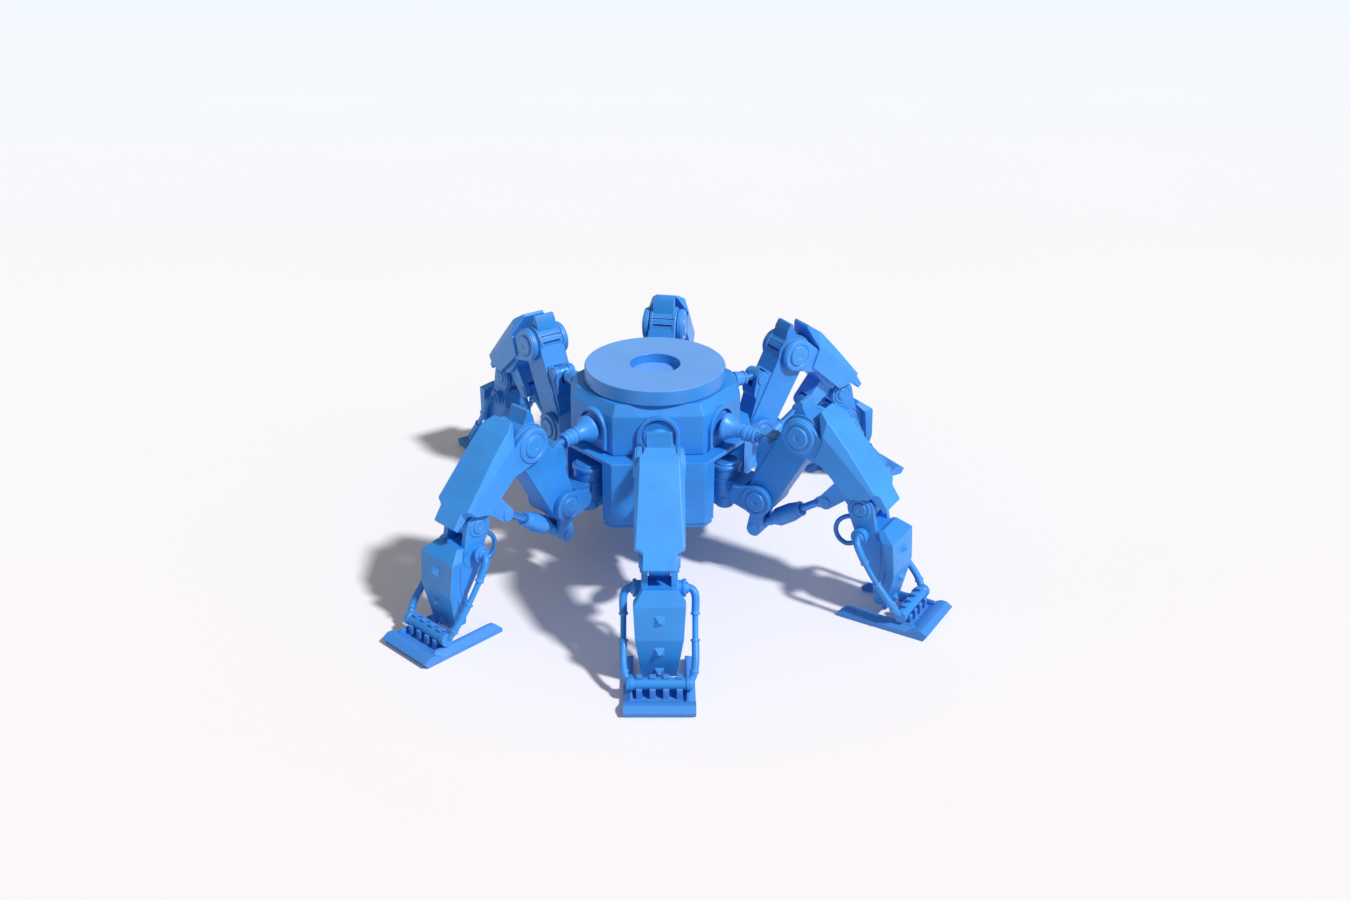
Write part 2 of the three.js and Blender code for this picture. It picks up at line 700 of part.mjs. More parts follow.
const coxa = coxaSolid();
const thigh = thighSolid();
const strutBarrel = strutBarrelSolid();
const strutRod = rodSolid(STRUT_ROD_START, distance(STRUT_BALL, STRUT_EYE), STRUT_ROD);
const ramBarrel = ramBarrelSolid();
const ramRod = rodSolid(RAM_ROD_START, distance(RAM_BASE, RAM_EYE), RAM_ROD);
const shank = shankSolid();
const shin = shinSolid();
const foot = footSolid();

function leg(name, { facet, swing }) {
  const group = new THREE.Group();
  const strutSlope = slopeDown(STRUT_BALL, STRUT_EYE);
  const ramSlope = slopeDown(RAM_BASE, RAM_EYE);
  group.add(
    placed(piece(`${name}_hip_drum`, coxa, framePaint), 0, 0),
    placed(piece(`${name}_thigh`, thigh, hullPaint), HIP.x, HIP.z),
    placed(piece(`${name}_strut_barrel`, strutBarrel, armourPaint), STRUT_BALL.x, STRUT_BALL.z, strutSlope),
    placed(piece(`${name}_strut_rod`, strutRod, rodMetal), STRUT_BALL.x, STRUT_BALL.z, strutSlope),
    placed(piece(`${name}_knee_ram_barrel`, ramBarrel, armourPaint), RAM_BASE.x, RAM_BASE.z, ramSlope),
    placed(piece(`${name}_knee_ram_rod`, ramRod, rodMetal), RAM_BASE.x, RAM_BASE.z, ramSlope),
    placed(piece(`${name}_shank`, shank, armourPaint), KNEE.x, KNEE.z, slopeDown(KNEE, ANKLE)),
    placed(piece(`${name}_shin`, shin, hullPaint), ANKLE.x, ANKLE.z),
    placed(piece(`${name}_foot`, foot, soleRubber), TOE_PIVOT.x, TOE_PIVOT.z),
  );
  const outwards = degrees(facet - 90);
  group.position.set(YAW_RADIUS * Math.cos(outwards), YAW_RADIUS * Math.sin(outwards), 0);
  group.rotation.z = outwards + degrees(swing);
  return group;
}

const robot = new THREE.Group();
robot.name = 'hexapod_robot';
robot.add(
  piece('hull_lid', lidSolid(), lidPaint),
  piece('hull_upper_casing', upperCasingSolid(), hullPaint),
  piece('hull_lower_casing', lowerCasingSolid(), hullPaint),
  piece('hull_base_plate', basePlateSolid(), framePaint),
  piece('battery_pack', batterySolid(), cellWrap),
  piece('controller_board', controllerSolid(), boardMask),
);
for (const [name, place] of Object.entries(LEGS)) {
  robot.add(leg(name, place));
}

export default robot;
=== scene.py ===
"""Looks of the six-legged walking robot kit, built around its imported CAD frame.

Every shape is drawn in millimetres in its own frame and written in metres. A leg's pieces are drawn once,
with X outwards from the hip drum's axis, Y across the leg and Z up from the floor. They are placed six times
from the record's joints.
"""
import json
import math

import bmesh
import bpy
from mathutils import Matrix, Vector


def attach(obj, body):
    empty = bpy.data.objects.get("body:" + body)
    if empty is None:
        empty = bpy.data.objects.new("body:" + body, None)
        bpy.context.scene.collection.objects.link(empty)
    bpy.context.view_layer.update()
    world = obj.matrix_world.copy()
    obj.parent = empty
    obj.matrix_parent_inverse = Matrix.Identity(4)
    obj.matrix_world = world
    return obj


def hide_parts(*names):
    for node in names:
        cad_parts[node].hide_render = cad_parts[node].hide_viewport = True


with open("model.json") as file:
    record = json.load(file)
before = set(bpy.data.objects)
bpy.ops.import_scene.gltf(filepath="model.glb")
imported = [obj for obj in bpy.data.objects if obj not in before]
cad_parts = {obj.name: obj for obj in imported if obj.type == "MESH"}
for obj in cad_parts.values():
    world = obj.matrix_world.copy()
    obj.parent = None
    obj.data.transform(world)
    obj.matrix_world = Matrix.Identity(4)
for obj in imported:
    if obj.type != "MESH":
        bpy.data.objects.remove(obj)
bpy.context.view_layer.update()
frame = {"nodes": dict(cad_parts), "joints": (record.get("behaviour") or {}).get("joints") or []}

MM = 0.001
LEGS = ("front", "front_right", "rear_right", "rear", "rear_left", "front_left")
JOINTS = {joint["name"]: joint for joint in frame["joints"]}

# ---- camera ----

SENSOR_MM = 36
LENS_MM = 42.667
CAMERA_AT = Vector((-0.061, -1.356, 0.760))
CAMERA_PITCH = math.radians(26.1)
CAMERA_YAW = math.radians(3.38)
CAMERA_ROLL = math.radians(0.5)


def make_camera():
    data = bpy.data.cameras.new("camera")
    data.sensor_width = SENSOR_MM
    data.lens = LENS_MM
    data.clip_start = 0.05
    data.clip_end = 50
    camera = bpy.data.objects.new("camera", data)
    bpy.context.scene.collection.objects.link(camera)
    forward = Vector((
        math.sin(CAMERA_YAW) * math.cos(CAMERA_PITCH),
        math.cos(CAMERA_YAW) * math.cos(CAMERA_PITCH),
        -math.sin(CAMERA_PITCH),
    ))
    level = Vector((math.cos(CAMERA_YAW), -math.sin(CAMERA_YAW), 0))
    above = level.cross(forward)
    right = math.cos(CAMERA_ROLL) * level + math.sin(CAMERA_ROLL) * above
    up = math.cos(CAMERA_ROLL) * above - math.sin(CAMERA_ROLL) * level
    turn = Matrix((right, up, -forward)).transposed()
    camera.matrix_world = Matrix.Translation(CAMERA_AT) @ turn.to_4x4()
    bpy.context.scene.camera = camera


# ---- pivots, from the record ----


def pivot(leg, joint):
    """A joint's place in its leg's plane, in millimetres."""
    at = leg_matrix(leg).inverted() @ Vector(JOINTS[f"{leg}_{joint}"]["pos_m"])
    return round(at.x / MM, 2), round(at.z / MM, 2)


def leg_matrix(leg):
    axis = Vector(JOINTS[f"{leg}_hip_yaw"]["pos_m"])
    across = Vector(JOINTS[f"{leg}_hip_pitch"]["axis"])
    out = across.cross(Vector((0, 0, 1)))
    turn = Matrix((out, across, Vector((0, 0, 1)))).transposed()
    return Matrix.Translation((axis.x, axis.y, 0)) @ turn.to_4x4()


HIP = pivot("front", "hip_pitch")
KNEE = pivot("front", "knee")
ANKLE = pivot("front", "ankle")
TOE = pivot("front", "toe_hinge")
STRUT_BALL = pivot("front", "strut_swivel")
RAM_BASE = pivot("front", "knee_ram_swivel")
# the two open pivots, which the record has no joint for
STRUT_EYE = (45.5, 138.5)
RAM_EYE = (106, 98)
# where the roll cage's tubes leave the shin
HUB = (145, 79)

# distances from the leg's plane, across the leg
LINK = 13.8  # thigh
CHEEK_IN = 14.4  # fork cheeks of the hip and the knee
CHEEK_OUT = 19
DISC = 22  # outer face of the pivot covers
LUG = 4.6  # rod eyes
SLOT = 5.1  # slots that the rod eyes turn in
LUG_PLATE = 10.8  # forked lugs that hold the rods' pins
CAGE_HALF = 29.5  # roll cage's tubes
FOOT_HALF = 29.7

# radii round the pivots
HIP_END = 14.5
KNEE_END = 16.5
ANKLE_END = 12.5
LUG_END = 7
EYE_SPACE = 9.2  # slot round a rod's eye
EYE_PIN = 2.3
EYE_BORE = 4.9
PIN = 4.5  # hip, knee and ankle pins
PIN_HOLE = 5

# ---- solids ----


def arc(centre, radius, start, end, step=6):
    count = max(2, round(abs(end - start) / step))
    angles = [math.radians(start + (end - start) * i / count) for i in range(count + 1)]
    return [(centre[0] + radius * math.cos(a), centre[1] + radius * math.sin(a)) for a in angles]


def link(a, radius_a, b, radius_b):
    """Two round ends joined by their tangents."""
    heading = math.degrees(math.atan2(b[1] - a[1], b[0] - a[0]))
    lean = math.degrees(math.acos((radius_a - radius_b) / math.dist(a, b)))
    first = arc(a, radius_a, heading + lean, heading - lean + 360)
    return first + arc(b, radius_b, heading - lean, heading + lean)


def soften(bm, width, segments=2, angle=28):
    """Bevels the edges that turn by more than an angle, in degrees."""
    if width <= 0:
        return bm
    inner = [e for e in bm.edges if len(e.link_faces) == 2]
    edges = [e for e in inner if e.calc_face_angle(0) > math.radians(angle)]
    bmesh.ops.bevel(
        bm,
        geom=edges,
        offset=width,
        offset_type="OFFSET",
        segments=segments,
        profile=0.5,
        affect="EDGES",
        clamp_overlap=True,
    )
    return bm


def prism(points, low, high, axis="Y", bevel=0.5):
    """An outline thickened along an axis: X-Z outlines along Y, X-Y along Z, and Y-Z along X."""
    place = {
        "Y": lambda u, v, w: (u, w, v),
        "Z": lambda u, v, w: (u, v, w),
        "X": lambda u, v, w: (w, u, v),
    }[axis]
    bm = bmesh.new()
    first = [bm.verts.new(place(u, v, low)) for u, v in points]
    last = [bm.verts.new(place(u, v, high)) for u, v in points]
    bm.faces.new(first)
    bm.faces.new(last)
    count = len(points)
    for i in range(count):
        k = (i + 1) % count
        bm.faces.new((first[i], first[k], last[k], last[i]))
    bmesh.ops.remove_doubles(bm, verts=bm.verts, dist=1e-4)
    bmesh.ops.recalc_face_normals(bm, faces=bm.faces)
    return soften(bm, bevel)


def turned(profile, axis="Z", at=(0, 0), segments=48, bevel=0.3):
    """A turned piece, from (radius, height) pairs that start and end on its axis. at is the axis's place."""
    place = {
        "Z": lambda r, h, a: (at[0] + r * math.cos(a), at[1] + r * math.sin(a), h),
        "Y": lambda r, h, a: (at[0] + r * math.cos(a), h, at[1] + r * math.sin(a)),
        "X": lambda r, h, a: (h, at[0] + r * math.cos(a), at[1] + r * math.sin(a)),
    }[axis]
    bm = bmesh.new()
    rings = []
    for radius, height in profile:
        if radius == 0:
            rings.append([bm.verts.new(place(0, height, 0))])
        else:
            turns = [2 * math.pi * i / segments for i in range(segments)]
            rings.append([bm.verts.new(place(radius, height, a)) for a in turns])
    for a, b in zip(rings, rings[1:]):
        for i in range(segments):
            k = (i + 1) % segments
            corners = [a[i % len(a)], a[k % len(a)], b[k % len(b)], b[i % len(b)]]
            unique = list(dict.fromkeys(corners))
            if len(unique) > 2:
                bm.faces.new(unique)
    bmesh.ops.recalc_face_normals(bm, faces=bm.faces)
    return soften(bm, bevel)


def drum(at, radius, low, high, bevel=0.3, segments=40):
    """A round bar across the leg."""
    return turned([(0, low), (radius, low), (radius, high), (0, high)], "Y", at, segments, bevel)


def block(x, y, z, bevel=0.5):
    """A box between a low and a high value on each axis."""
    return prism([(x[0], z[0]), (x[1], z[0]), (x[1], z[1]), (x[0], z[1])], y[0], y[1], "Y", bevel)


def smooth_path(points, per_span=8):
    """A Catmull-Rom line through the points."""
    line = [Vector(p) for p in points]
    ends = [line[0] * 2 - line[1], *line, line[-1] * 2 - line[-2]]
    out = []
    for a, b, c, d in zip(ends, ends[1:], ends[2:], ends[3:]):
        for i in range(per_span):
            t = i / per_span
            squared = (2 * a - 5 * b + 4 * c - d) * t * t
            cubed = (3 * b - a - 3 * c + d) * t**3
            out.append(0.5 * (2 * b + (c - a) * t + squared + cubed))
    return [*out, line[-1]]


def tube(path, radii, segments=20):
    """A closed round bar along a path, with a radius at each point."""
    bm = bmesh.new()
    rings = []
    side = None
    for i, point in enumerate(path):
        ahead = (path[min(i + 1, len(path) - 1)] - path[max(i - 1, 0)]).normalized()
        if side is None:
            side = ahead.orthogonal().normalized()
        side = (side - ahead * side.dot(ahead)).normalized()
        other = ahead.cross(side)
        ring = []
        for k in range(segments):
            a = 2 * math.pi * k / segments
            ring.append(bm.verts.new(point + radii[i] * (math.cos(a) * side + math.sin(a) * other)))
        rings.append(ring)
    for a, b in zip(rings, rings[1:]):
        for k in range(segments):
            j = (k + 1) % segments
            bm.faces.new((a[k], a[j], b[j], b[k]))
    bm.faces.new(rings[0])
    bm.faces.new(rings[-1])
    bmesh.ops.recalc_face_normals(bm, faces=bm.faces)
    return bm


def mirrored(make):
    """A shape and its mirror image across the leg's plane."""
    right = make()
    left = right.copy()
    bmesh.ops.scale(left, vec=(1, -1, 1), verts=left.verts)
    bmesh.ops.reverse_faces(left, faces=left.faces)
    return [right, left]


def moved(bm, matrix):
    bmesh.ops.transform(bm, matrix=matrix, verts=bm.verts)
    return bm


def aside(bm, name):
    """A passing object that holds a shape for a boolean."""
    data = bpy.data.meshes.new(name)
    bm.to_mesh(data)
    bm.free()
    holder = bpy.data.objects.new(name, data)
    bpy.context.scene.collection.objects.link(holder)
    return holder


def combined(shape, operation, tools):
    """One closed shape from a shape and its tools, by booleans."""
    base = aside(shape, "base")
    holders = [aside(tool, "tool") for tool in tools]
    for holder in holders:
        modifier = base.modifiers.new("boolean", "BOOLEAN")
        modifier.solver = "MANIFOLD"
        modifier.operation = operation
        modifier.object = holder
    bpy.context.view_layer.update()
    evaluated = base.evaluated_get(bpy.context.evaluated_depsgraph_get())
    bm = bmesh.new()
    bm.from_mesh(evaluated.to_mesh())
    evaluated.to_mesh_clear()
    for holder in [base, *holders]:
        data = holder.data
        bpy.data.objects.remove(holder)
        bpy.data.meshes.remove(data)
    return bm


def joined(shells, cuts=()):
    """The shells made one, with the cuts taken out."""
    bm = combined(shells[0], "UNION", shells[1:])
    return combined(bm, "DIFFERENCE", cuts) if cuts else bm


SHARP = math.radians(33)
FLAT = math.radians(0.4)
WELD = 1e-3


def to_mesh(bm, name):
    """A shape in millimetres as a mesh in metres, smooth but for its sharp edges."""
    bmesh.ops.dissolve_limit(bm, angle_limit=FLAT, verts=bm.verts, edges=bm.edges)
    bmesh.ops.remove_doubles(bm, verts=bm.verts, dist=WELD)
    bmesh.ops.scale(bm, vec=(MM, MM, MM), verts=bm.verts)
    data = bpy.data.meshes.new(name)
    bm.to_mesh(data)
    bm.free()
    data.polygons.foreach_set("use_smooth", [True] * len(data.polygons))
    data.set_sharp_from_angle(angle=SHARP)
    return data


def facets(bm, bevel, angle):
    """Bevels a faceted shape's shallow creases, once its flat faces are whole."""
    bmesh.ops.dissolve_limit(bm, angle_limit=math.radians(0.5), verts=bm.verts, edges=bm.edges)
    return soften(bm, bevel, 2, angle)


def show(data, name, body, material, replaced=None, place=None):
    """A piece of the robot, riding on its body."""
    thing = bpy.data.objects.new(name, data)
    bpy.context.scene.collection.objects.link(thing)
    if place is not None:
        thing.matrix_world = place
    if not data.materials:
        data.materials.append(material)
    weighted = thing.modifiers.new("weighted", "WEIGHTED_NORMAL")
    weighted.keep_sharp = True
    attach(thing, body)
    if replaced:
        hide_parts(replaced)
    return thing


# ---- materials ----


def linear(code):
    """A colour written as eight-bit sRGB, in linear light."""
    values = [((code >> shift) & 255) / 255 for shift in (16, 8, 0)]
    return tuple(v / 12.92 if v <= 0.04045 else ((v + 0.055) / 1.055) ** 2.4 for v in values)


EDGE_REACH = 0.0009
PEEL_DEPTH = 0.00006
WAVE_DEPTH = 0.0002
LINE_DEPTH = 0.00004
PEBBLE_DEPTH = 0.00008


class Nodes:
    """A material's node tree with its shader, and short ways to add to it."""

    def __init__(self, name):
        self.material = bpy.data.materials.new(name)
        self.material.use_nodes = True
        self.tree = self.material.node_tree
        self.shader = self.tree.nodes["Principled BSDF"]
        self.place = self.add("ShaderNodeTexCoord").outputs["Object"]

    def add(self, kind, **values):
        node = self.tree.nodes.new(kind)
        for key, value in values.items():
            if hasattr(node, key):
                setattr(node, key, value)
            else:
                node.inputs[key.replace("_", " ")].default_value = value
        return node

    def link(self, source, target):
        self.tree.links.new(source, target)

    def noise(self, scale, detail=2, stretch=None):
        node = self.add("ShaderNodeTexNoise", Scale=scale, Detail=detail)
        place = self.place
        if stretch:
            mapping = self.add("ShaderNodeMapping")
            mapping.inputs["Scale"].default_value = stretch
            self.link(place, mapping.inputs["Vector"])
            place = mapping.outputs["Vector"]
        self.link(place, node.inputs["Vector"])
        return node.outputs["Fac"]

    def ramp(self, source, low, high, from_low=0.3, from_high=0.7):
        node = self.add("ShaderNodeMapRange")
        node.inputs["From Min"].default_value = from_low
        node.inputs["From Max"].default_value = from_high
        node.inputs["To Min"].default_value = low
        node.inputs["To Max"].default_value = high
        self.link(source, node.inputs["Value"])
        return node.outputs["Result"]

    def mix(self, factor, a, b):
        node = self.add("ShaderNodeMix", data_type="RGBA")
        if isinstance(factor, float):
            node.inputs["Factor"].default_value = factor
        else:
            self.link(factor, node.inputs["Factor"])
        for slot, value in ((6, a), (7, b)):
            if isinstance(value, tuple):
                node.inputs[slot].default_value = (*value, 1)
            else:
                self.link(value, node.inputs[slot])
        return node.outputs[2]

    def edges(self, radius):
        """1 on the outer edges within a radius, in metres, and 0 on flat faces."""
        worn = self.add("ShaderNodeBevel", samples=4)
        worn.inputs["Radius"].default_value = radius
        flat = self.normal()
        dot = self.add("ShaderNodeVectorMath", operation="DOT_PRODUCT")
        self.link(worn.outputs["Normal"], dot.inputs[0])
        self.link(flat, dot.inputs[1])
        return self.ramp(dot.outputs["Value"], 1, 0, 0.86, 0.99)

    def normal(self):
        return self.add("ShaderNodeNewGeometry").outputs["Normal"]

    def bump(self, source, distance, strength=1.0):
        node = self.add("ShaderNodeBump")
        node.inputs["Distance"].default_value = distance
        node.inputs["Strength"].default_value = strength
        self.link(source, node.inputs["Height"])
        previous = self.shader.inputs["Normal"].links
        if previous:
            self.link(previous[0].from_socket, node.inputs["Normal"])
        self.link(node.outputs["Normal"], self.shader.inputs["Normal"])


def painted(name, colour, roughness, peel=900, metallic=0.0, wear=0.35, coat=0.08, top=None):
    """Satin skin: soft mottling, fine orange peel and rubbed edges. top is a paler colour painted on faces
    turned up: a painted sheen of sky light, not the paint's own colour.
    """
    nodes = Nodes(name)
    base = linear(colour)
    deep = tuple(v * 0.86 for v in base)
    pale = tuple(v + (1 - v) * 0.22 for v in base)
    cloud = nodes.ramp(nodes.noise(22, 3), 0, 1, 0.35, 0.65)
    body = nodes.mix(cloud, deep, base)
    # painted sheen: faces turned up are mixed towards the paler top colour, standing in for sky light falling
    # on them
    if top is not None:
        painted_sheen_normal = nodes.add("ShaderNodeSeparateXYZ")
        nodes.link(nodes.normal(), painted_sheen_normal.inputs["Vector"])
        painted_top_sheen = nodes.mix(cloud, tuple(v * 0.94 for v in linear(top)), linear(top))
        body = nodes.mix(nodes.ramp(painted_sheen_normal.outputs["Z"], 0, 1, 0.8, 0.95), body, painted_top_sheen)
    scuffs = nodes.ramp(nodes.noise(160, 4), 0, wear, 0.45, 0.7)
    rubbed = nodes.add("ShaderNodeMath", operation="MULTIPLY")
    nodes.link(nodes.edges(EDGE_REACH), rubbed.inputs[0])
    nodes.link(nodes.ramp(nodes.noise(90, 3), wear, 1, 0.4, 0.65), rubbed.inputs[1])
    nodes.link(nodes.mix(rubbed.outputs[0], body, pale), nodes.shader.inputs["Base Color"])
    rough = nodes.add("ShaderNodeMath", operation="MULTIPLY_ADD")
    nodes.link(scuffs, rough.inputs[0])
    rough.inputs[1].default_value = 0.22
    rough.inputs[2].default_value = roughness
    nodes.link(rough.outputs[0], nodes.shader.inputs["Roughness"])
    nodes.shader.inputs["Metallic"].default_value = metallic
    nodes.shader.inputs["Coat Weight"].default_value = coat
    nodes.shader.inputs["Coat Roughness"].default_value = 0.35
    nodes.bump(nodes.noise(peel, 2), PEEL_DEPTH, 0.6)
    nodes.bump(nodes.noise(40, 2), WAVE_DEPTH, 0.25)
    return nodes.material


def brushed(name, colour, roughness, stretch):
    """Anodised metal with fine lines left by turning or drawing."""
    nodes = Nodes(name)
    base = linear(colour)
    lines = nodes.noise(220, 3, stretch)
    tone = nodes.mix(nodes.ramp(lines, 0, 1), tuple(v * 0.82 for v in base), base)
    nodes.link(tone, nodes.shader.inputs["Base Color"])
    nodes.link(nodes.ramp(lines, roughness, roughness + 0.16), nodes.shader.inputs["Roughness"])
    nodes.shader.inputs["Metallic"].default_value = 0.55
    nodes.bump(lines, LINE_DEPTH, 0.5)
    return nodes.material


def rubber(name, colour):
    """Moulded rubber: matt, finely pebbled, a little dusty."""
    nodes = Nodes(name)
    base = linear(colour)
    dust = tuple(v * 0.7 + 0.09 for v in base)
    dusty = nodes.ramp(nodes.noise(45, 5), 0, 0.5, 0.45, 0.75)
    nodes.link(nodes.mix(dusty, base, dust), nodes.shader.inputs["Base Color"])
    nodes.link(nodes.ramp(nodes.noise(300, 2), 0.5, 0.68), nodes.shader.inputs["Roughness"])
    grain = nodes.add("ShaderNodeTexVoronoi", Scale=1100.0)
    nodes.link(nodes.place, grain.inputs["Vector"])
    nodes.bump(grain.outputs["Distance"], PEBBLE_DEPTH, 0.5)
    return nodes.material


MATERIALS = {
    # the lid's paler top colour is a painted sheen of sky light on its upward faces
    "lid_paint": painted("lid_paint", 0x3490E4, 0.42, peel=1100, coat=0.2, top=0x6CA9F5),
    "hull_paint": painted("hull_paint", 0x2E90E6, 0.46),
    "frame_metal": painted("frame_metal", 0x2E88DC, 0.42, peel=1600, metallic=0.15, wear=0.3),
    "armour_paint": painted("armour_paint", 0x3C9AF2, 0.4),
    "rod_metal": brushed("rod_metal", 0x4F9FF2, 0.26, (1, 12, 1)),
    "sole": rubber("sole", 0x3A88DC),
    "cell_wrap": painted("cell_wrap", 0x2C68A8, 0.5),
    "board_mask": painted("board_mask", 0x2B6FB5, 0.5),
}

# ---- hull ----

LID_RADIUS = 65
LID_TOP = 184
LID_BOTTOM = 169.5
SHOULDER_Z = 159
SHOULDER_INSET = 6
SHELF_Z = 121
SHELF_THICKNESS = 3.4
SEAM = 0.3  # gap between two pieces that touch
HULL_BOTTOM = 59
YAW_RADIUS = 80
UPPER_CORNERS = ((41, 65), (78, 17.5))
LOWER_CORNERS = ((42.6, 82), (90, 22.4))
END_NOTCH = (83, 20)  # centre from the hull's axis and radius, round the front and rear hip drums
SIDE_NOTCH = (85, 25)  # round the other four
BASE_THICKNESS = 3
WALL = 3
DRUM_RADIUS = 13.8
DRUM_BOTTOM = 76
DRUM_TOP = 109.5
POST_BOTTOM = 62
KINGPIN_RADIUS = 5
KINGPIN_TOP = 103


def plan(wide, grow):
    """An eight-sided plan from its front and side corners, moved outwards."""
    (fx, fy), (sx, sy) = wide
    corners = [(fx, -fy), (sx, -sy), (sx, sy), (fx, fy), (-fx, fy), (-sx, sy), (-sx, -sy), (-fx, -fy)]
    out = []
    for i, corner in enumerate(corners):
        before, after = Vector(corners[i - 1]), Vector(corners[(i + 1) % 8])
        here = Vector(corner)
        normals = []
        for a, b in ((before, here), (here, after)):
            along = (b - a).normalized()
            normals.append(Vector((along.y, -along.x)))
        both = normals[0] + normals[1]
        out.append(tuple(here + both * (grow / (1 + normals[0].dot(normals[1])))))
    return out


def facet_turn(leg):
    """Turns +X to the direction in which a leg's hip drum lies from the hull's axis."""
    axis = JOINTS[f"{leg}_hip_yaw"]["pos_m"]
    return math.atan2(axis[1], axis[0])


def facet_distance(leg):
    """How far the upper casing's wall under a leg's strut is from the hull's axis."""
    turn = facet_turn(leg)
    out = Vector((math.cos(turn), math.sin(turn)))
    if abs(out.x) < 0.1:
        return UPPER_CORNERS[0][1]
    (front_x, front_y), (side_x, side_y) = UPPER_CORNERS
    run, rise = side_x - front_x, front_y - side_y
    return (front_x * rise + front_y * run) / math.hypot(run, rise)


def around(make):
    """What make draws on +X at a facet's distance, turned to each of the six legs."""
    shells = []
    for leg in LEGS:
        turn = Matrix.Rotation(facet_turn(leg), 4, "Z")
        shells += [moved(shell, turn) for shell in make(facet_distance(leg))]
    return shells


def lid():
    """A turned disc with a round pocket in its top, and a spigot below that sits in the upper casing."""
    spigot, pocket, deep = 19, 23, 9.4
    return turned(
        [
            (0, LID_BOTTOM - 6),
            (spigot, LID_BOTTOM - 6),
            (spigot, LID_BOTTOM),
            (LID_RADIUS - 1, LID_BOTTOM),
            (LID_RADIUS, LID_BOTTOM + 1),
            (LID_RADIUS, LID_TOP - 1.4),
            (LID_RADIUS - 0.5, LID_TOP - 0.4),
            (LID_RADIUS - 1.6, LID_TOP),
            (pocket + 0.6, LID_TOP),
            (pocket, LID_TOP - 0.6),
            (pocket, LID_TOP - deep),
            (0, LID_TOP - deep),
        ],
        segments=160,
        bevel=0.25,
    )


def loft(sections, bevel=0.6):
    """A closed body through equal-sided outlines, given as (z, outline) pairs."""
    bm = bmesh.new()
    rings = [[bm.verts.new((x, y, z)) for x, y in outline] for z, outline in sections]
    for a, b in zip(rings, rings[1:]):
        for i in range(len(a)):
            k = (i + 1) % len(a)
            bm.faces.new((a[i], a[k], b[k], b[i]))
    bm.faces.new(rings[0])
    bm.faces.new(rings[-1])
    bmesh.ops.recalc_face_normals(bm, faces=bm.faces)
    return soften(bm, bevel)


def socket(face):
    """A raised arch around a strut's socket, a recessed dish, and the ball on its stem."""
    outer, inner, proud, ball_radius = 19, 15.6, 4, 6
    foot = SHELF_Z + 4
    rim = [(outer, foot), *arc((0, STRUT_BALL[1]), outer, 0, 180), (-outer, foot)]
    rim += [(-inner, foot), *arc((0, STRUT_BALL[1]), inner, 180, 0), (inner, foot)]
    arch = prism(rim, face - 1, face + proud, "X", 0.7)
    at = (0, STRUT_BALL[1])
    dish = turned([(0, face - 1), (13.4, face - 1), (13.4, face + 1.2), (0, face + 1.2)], "X", at, 48, 0.4)
    stem = turned([(0, face - 1), (3, face - 1), (3, YAW_RADIUS), (0, YAW_RADIUS)], "X", at, 24, 0)
    turns = [math.pi * i / 16 for i in range(1, 16)]
    side = [(ball_radius * math.sin(a), YAW_RADIUS - ball_radius * math.cos(a)) for a in turns]
    poles = (0, YAW_RADIUS - ball_radius), (0, YAW_RADIUS + ball_radius)
    ball = turned([poles[0], *side, poles[1]], "X", at, 32, 0)
    return [arch, dish, stem, ball]


def upper_casing():
    """An eight-sided shell with a sloping shoulder, open below, with the lid's hole in its top."""
    top = LID_BOTTOM - SEAM
    outside = loft([
        (SHELF_Z + SEAM, plan(UPPER_CORNERS, 0)),
        (SHOULDER_Z, plan(UPPER_CORNERS, 0)),
        (top, plan(UPPER_CORNERS, -SHOULDER_INSET)),
    ], 0.9)
    inside = loft([
        (SHELF_Z - 5, plan(UPPER_CORNERS, -WALL)),
        (SHOULDER_Z - WALL, plan(UPPER_CORNERS, -WALL)),
        (top - WALL, plan(UPPER_CORNERS, -SHOULDER_INSET - WALL)),
    ], 0)
    mouth = upright(0, 19.3, 100, 200, 48)
    return joined([outside, *around(socket)], [inside, mouth])


def upright(at, radius, low, high, segments=64):
    """A round bar standing at a distance from the hull's axis."""
    profile = [(0, low), (radius, low), (radius, high), (0, high)]
    return turned(profile, at=(at, 0), segments=segments, bevel=0)


def notch(face):
    """The centre and radius of the round space in front of a facet."""
    return END_NOTCH if face == UPPER_CORNERS[0][1] else SIDE_NOTCH


def notches(grow, low, high):
    """The round spaces for the six hip drums, widened by a margin."""

    def space(face):
        at, radius = notch(face)
        return [upright(at, radius + grow, low, high)]

    return around(space)


def hip_post(face):
    """The fixed post and kingpin under a hip drum, on a rib from the wall behind."""
    at, radius = notch(face)
    low, high = POST_BOTTOM, DRUM_BOTTOM - SEAM
    rib = block((at - radius - 1, YAW_RADIUS), (-5, 5), (low, high), 0.6)
    post = turned(
        [(0, low), (7.3, low), (8.3, low + 1), (8.3, 73.2), (7.7, 73.8), (7.7, high), (0, high)],
        at=(YAW_RADIUS, 0),
        segments=48,
        bevel=0.15,
    )
    return [rib, post, upright(YAW_RADIUS, KINGPIN_RADIUS, high - 1, KINGPIN_TOP)]


def lower_casing():
    """A wider eight-sided shell under a shelf, open below, notched round the drums and walled behind them."""
    ceiling = SHELF_Z - SHELF_THICKNESS
    outside = prism(plan(LOWER_CORNERS, 0), HULL_BOTTOM, SHELF_Z, "Z", 1.4)
    inside = prism(plan(LOWER_CORNERS, -WALL), HULL_BOTTOM - 1, ceiling, "Z", 0)
    room = combined(inside, "DIFFERENCE", notches(WALL, 0, SHELF_Z + 9))
    hole = upright(0, 28, 100, 130, 48)
    shell = joined([outside], [room, hole, *notches(0, HULL_BOTTOM - 2, ceiling)])
    return joined([shell, *around(hip_post)])


def base_plate():
    top = HULL_BOTTOM - SEAM
    sheet = prism(plan(LOWER_CORNERS, -1), top - BASE_THICKNESS, top, "Z", 0.5)
    return joined([sheet], notches(1, 0, SHELF_Z))


# ---- one leg ----


